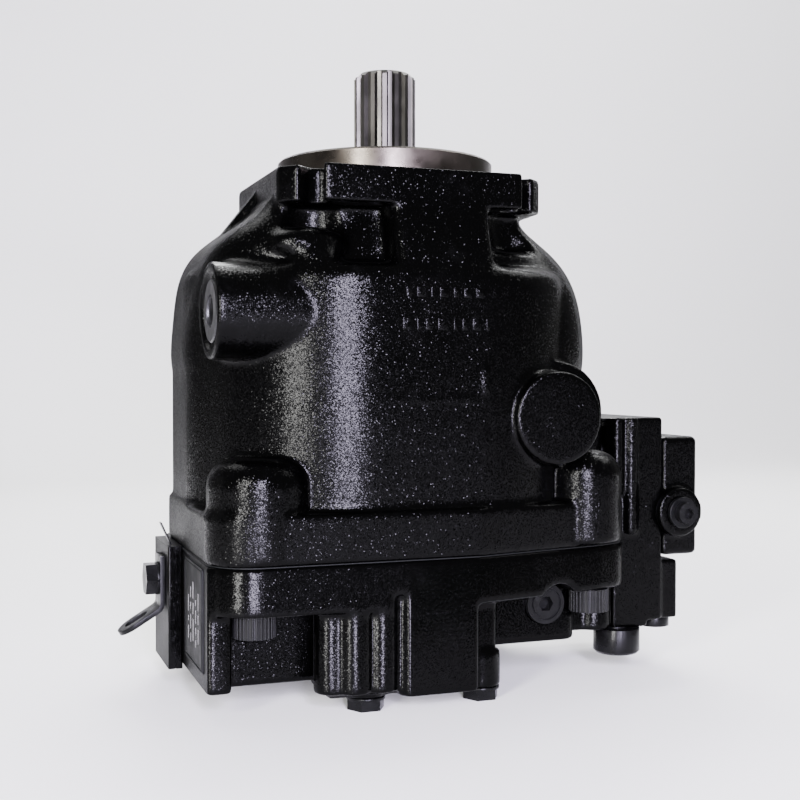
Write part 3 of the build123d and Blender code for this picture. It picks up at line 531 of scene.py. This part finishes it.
STRAP_X, STRAP_TOP, BEND_TOP, BEND_R, BEND_TURN = -130.6, -216.2, -243.5, 5, 58
STRAP_END = (-154.2, -260.6)
strap_path = [(STRAP_X, STRAP_TOP)]
for t in np.linspace(0, math.radians(BEND_TURN), 8):
    strap_path.append((STRAP_X - BEND_R * (1 - math.cos(t)), BEND_TOP - BEND_R * math.sin(t)))
strap_path.append(STRAP_END)
bent_strap("lifting_strap", strap_path, 22, 19.6, 2.6, 45.0, (15, 8), "eye_strap")

# ---- Carried-over nodes ------------------------------------------------------
# Materials that differ from the one of the node's slot
OTHER_MATERIAL = {"port_cover": "smooth_black", "drive_shaft": "spline_steel", "gauge_plug": "black_oxide",
                  "control_base_plug": "black_oxide"}
BEVELLED = ("port_cover", "nameplate", "control_screws", "cover_bolt", "foot_plugs", "gauge_plug",
            "spool_plug", "control_base_plug", "control_side_plug", "adjuster_nut", "adjuster_screw",
            "drain_plug", "bias_plug")
for node, obj in NODES.items():
    obj.data.materials.clear()
    obj.data.materials.append(MATERIALS[OTHER_MATERIAL.get(node, SLOT_OF[node])])
    if node in BEVELLED:
        obj.modifiers.new("weld", "WELD").merge_threshold = WELD_GAP
        bevel = obj.modifiers.new("bevel", "BEVEL")
        bevel.width = 0.5 * MM
        bevel.segments = 2
        bevel.limit_method = "ANGLE"
        bevel.angle_limit = math.radians(40)
        bevel.harden_normals = True

# ---- Camera, floor and light -------------------------------------------------
# The view: 19 degrees round to the left of the front, level with the middle of the barrel.
EYE = Vector((-0.2380, -0.6908, -0.1121))
FORWARD = Vector((0.33748, 0.94111, -0.02056)).normalized()
TILTED_UP = Vector((0.00694, 0.01935, 0.99979))
right = FORWARD.cross(TILTED_UP).normalized()
camera = new_object("camera", bpy.data.cameras.new("camera"))
camera.matrix_world = (Matrix.Translation(EYE)
                       @ Matrix((right, right.cross(FORWARD), -FORWARD)).transposed().to_4x4())
camera.data.sensor_width = 36
camera.data.lens = 54.93
camera.data.clip_start = 0.01
bpy.context.scene.camera = camera

floor_shader = Shader("studio_floor", (0.86, 0.86, 0.86), 0.55)
# Painted shade: the wall's colour darkens out of the view to the left, because the pump's left side mirrors
# it.
shade = floor_shader.math("MULTIPLY", floor_shader.ramp(floor_shader.axis("X"), -0.42, -0.16, 1, 0),
                          floor_shader.ramp(floor_shader.axis("Y"), 0.9, 1.5))
mottle = floor_shader.math("MULTIPLY", floor_shader.noise(3), 0.05)
floor_shader.tint(floor_shader.math("MAXIMUM", shade, mottle), (0.88, 0.88, 0.88), (0.12, 0.12, 0.12))
floor_shader.bsdf.inputs["Emission Color"].default_value = (1, 1, 1, 1)
floor_shader.bsdf.inputs["Emission Strength"].default_value = 0.1

# A floor that sweeps up into a wall, in metres
FLOOR_Z = CAD_BOX[0][2]
SIDE, NEAR_Y, SWEEP_Y, SWEEP_R, WALL_TOP = 3.0, -2.5, 1.4, 0.6, 3.0
sweep = []
for x in (-SIDE, SIDE):
    sweep += [(x, NEAR_Y, FLOOR_Z), (x, SWEEP_Y, FLOOR_Z)]
    for step in range(1, 9):
        angle = math.pi / 2 * step / 8
        y = SWEEP_Y + SWEEP_R * math.sin(angle)
        sweep.append((x, y, FLOOR_Z + SWEEP_R * (1 - math.cos(angle))))
    sweep.append((x, SWEEP_Y + SWEEP_R, FLOOR_Z + WALL_TOP))
half = len(sweep) // 2
strips = [(i, i + 1, half + i + 1, half + i) for i in range(half - 1)]
backdrop = new_object("backdrop", mesh_of("backdrop", sweep, strips))
backdrop.data.materials.append(floor_shader.material)
backdrop.data.shade_smooth()

world = bpy.data.worlds.new("studio")
bpy.context.scene.world = world
world.use_nodes = True
world.node_tree.nodes["Background"].inputs["Color"].default_value = (1, 1, 1, 1)
world.node_tree.nodes["Background"].inputs["Strength"].default_value = 0.3


def softbox(name, place, target, size, power, colour=(1, 1, 1)):
    light = bpy.data.lights.new(name, "AREA")
    light.shape = "RECTANGLE"
    light.size, light.size_y = size
    light.energy = power
    light.color = colour
    obj = new_object(name, light)
    obj.location = place
    obj.rotation_euler = (Vector(target) - Vector(place)).to_track_quat("-Z", "Y").to_euler()


CENTRE = Vector((0.0, 0.0, -0.11))


def around(azimuth, elevation, distance):
    """A place at that bearing from the pump's front (-Y), counted towards its left (-X)."""
    a, e = math.radians(azimuth), math.radians(elevation)
    return CENTRE + distance * Vector((-math.sin(a) * math.cos(e), -math.cos(a) * math.cos(e), math.sin(e)))


softbox("strip_front", around(9, 8, 1.5), CENTRE, (0.26, 1.0), 134, (0.82, 0.76, 1.0))
softbox("strip_left", around(44, 10, 1.5), CENTRE, (0.24, 0.9), 60, (1.0, 0.99, 0.97))
softbox("panel_left", around(108, 5, 1.6), CENTRE, (0.7, 1.2), 1.2)
softbox("fill_back", around(199, 38, 1.6), CENTRE, (0.9, 0.5), 30)
softbox("fill_right", around(-95, 45, 1.6), CENTRE, (0.8, 0.6), 9)
softbox("over", around(170, 62, 1.6), CENTRE, (1.4, 0.9), 16)
softbox("wash", (1.1, 0.7, 1.9), (1.1, 1.9, 0.1), (1.5, 0.5), 50)
